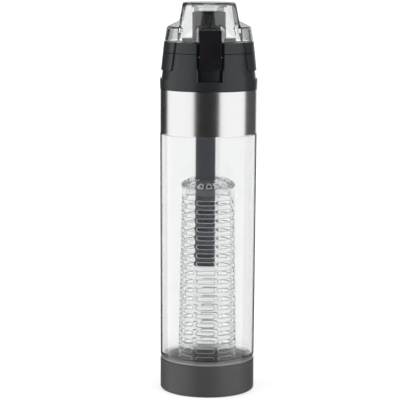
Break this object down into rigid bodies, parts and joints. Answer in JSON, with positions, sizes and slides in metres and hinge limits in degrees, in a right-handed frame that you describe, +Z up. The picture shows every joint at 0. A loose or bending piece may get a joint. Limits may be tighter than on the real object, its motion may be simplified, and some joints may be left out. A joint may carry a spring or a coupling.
{
  "type": "fruit infuser water bottle",
  "caption": "clear screw-together water bottle with a slotted infuser in its base, steel band, straw, and a latched flip cap over a spout",
  "frame": {"origin": "middle of the base's underside, on the surface that the bottle stands on", "axes": "+Z up along the bottle, the latch at the front faces -Y, the cap's hinge at the back is at +Y"},
  "size_m": [0.0706, 0.0706, 0.2834],
  "materials": {
    "charcoal": "fine moulded satin",
    "black": "smooth",
    "slate": "smooth",
    "clear": "clear, polished",
    "steel": "fine brushed",
    "seal": "soft silicone",
    "clear_seal": "translucent silicone"
  },
  "bodies": {
    "base": {"base_cup": "charcoal"},
    "base_seal": {"base_gasket": "seal"},
    "bottle": {"body_tube": "clear", "steel_band": "steel"},
    "lid_seal": {"lid_gasket": "seal"},
    "lid": {"lid_core": "charcoal", "lid_skirt": "charcoal", "lid_deck": "charcoal", "grip_pad_left": "charcoal", "grip_pad_right": "charcoal", "spout": "slate", "spout_seal": "seal", "vent_valve": "seal", "straw_grommet": "seal", "cap_hinge_pin": "steel", "latch_pin": "steel", "latch_spring": "steel"},
    "cap": {"flip_cap": "clear", "cap_seal": "clear_seal"},
    "latch": {"latch_button": "black"},
    "straw": {"straw": "slate"},
    "infuser": {"infuser_basket": "clear"},
    "infuser_lid": {"infuser_cap": "clear"}
  },
  "joints": [
    {"name": "body_lift", "type": "slide", "parent": "base", "child": "base_seal", "axis": [0, 0, 1], "range_m": [0, 0.18]},
    {"name": "body_turn", "type": "hinge", "parent": "base_seal", "child": "bottle", "pos_m": [0, 0, 0.006], "axis": [0, 0, 1], "range_deg": [0, 450]},
    {"name": "lid_lift", "type": "slide", "parent": "bottle", "child": "lid_seal", "axis": [0, 0, 1], "range_m": [0, 0.15]},
    {"name": "lid_turn", "type": "hinge", "parent": "lid_seal", "child": "lid", "pos_m": [0, 0, 0.2404], "axis": [0, 0, 1], "range_deg": [0, 450]},
    {"name": "cap_hinge", "type": "hinge", "parent": "lid", "child": "cap", "pos_m": [0, 0.0326, 0.2582], "axis": [-1, 0, 0], "range_deg": [0, 150]},
    {"name": "latch_press", "type": "hinge", "parent": "lid", "child": "latch", "pos_m": [0, -0.0298, 0.2452], "axis": [1, 0, 0], "range_deg": [0, 8], "stiffness_Nm_per_rad": 0.4, "deforming": ["latch_spring"]},
    {"name": "straw_pull", "type": "slide", "parent": "lid", "child": "straw", "axis": [0, 0, -1], "range_m": [0, 0.016]},
    {"name": "infuser_lift", "type": "slide", "parent": "base", "child": "infuser", "axis": [0, 0, 1], "range_m": [0, 0.03]},
    {"name": "infuser_cap_pull", "type": "slide", "parent": "infuser", "child": "infuser_lid", "axis": [0, 0, 1], "range_m": [0, 0.012]}
  ]
}
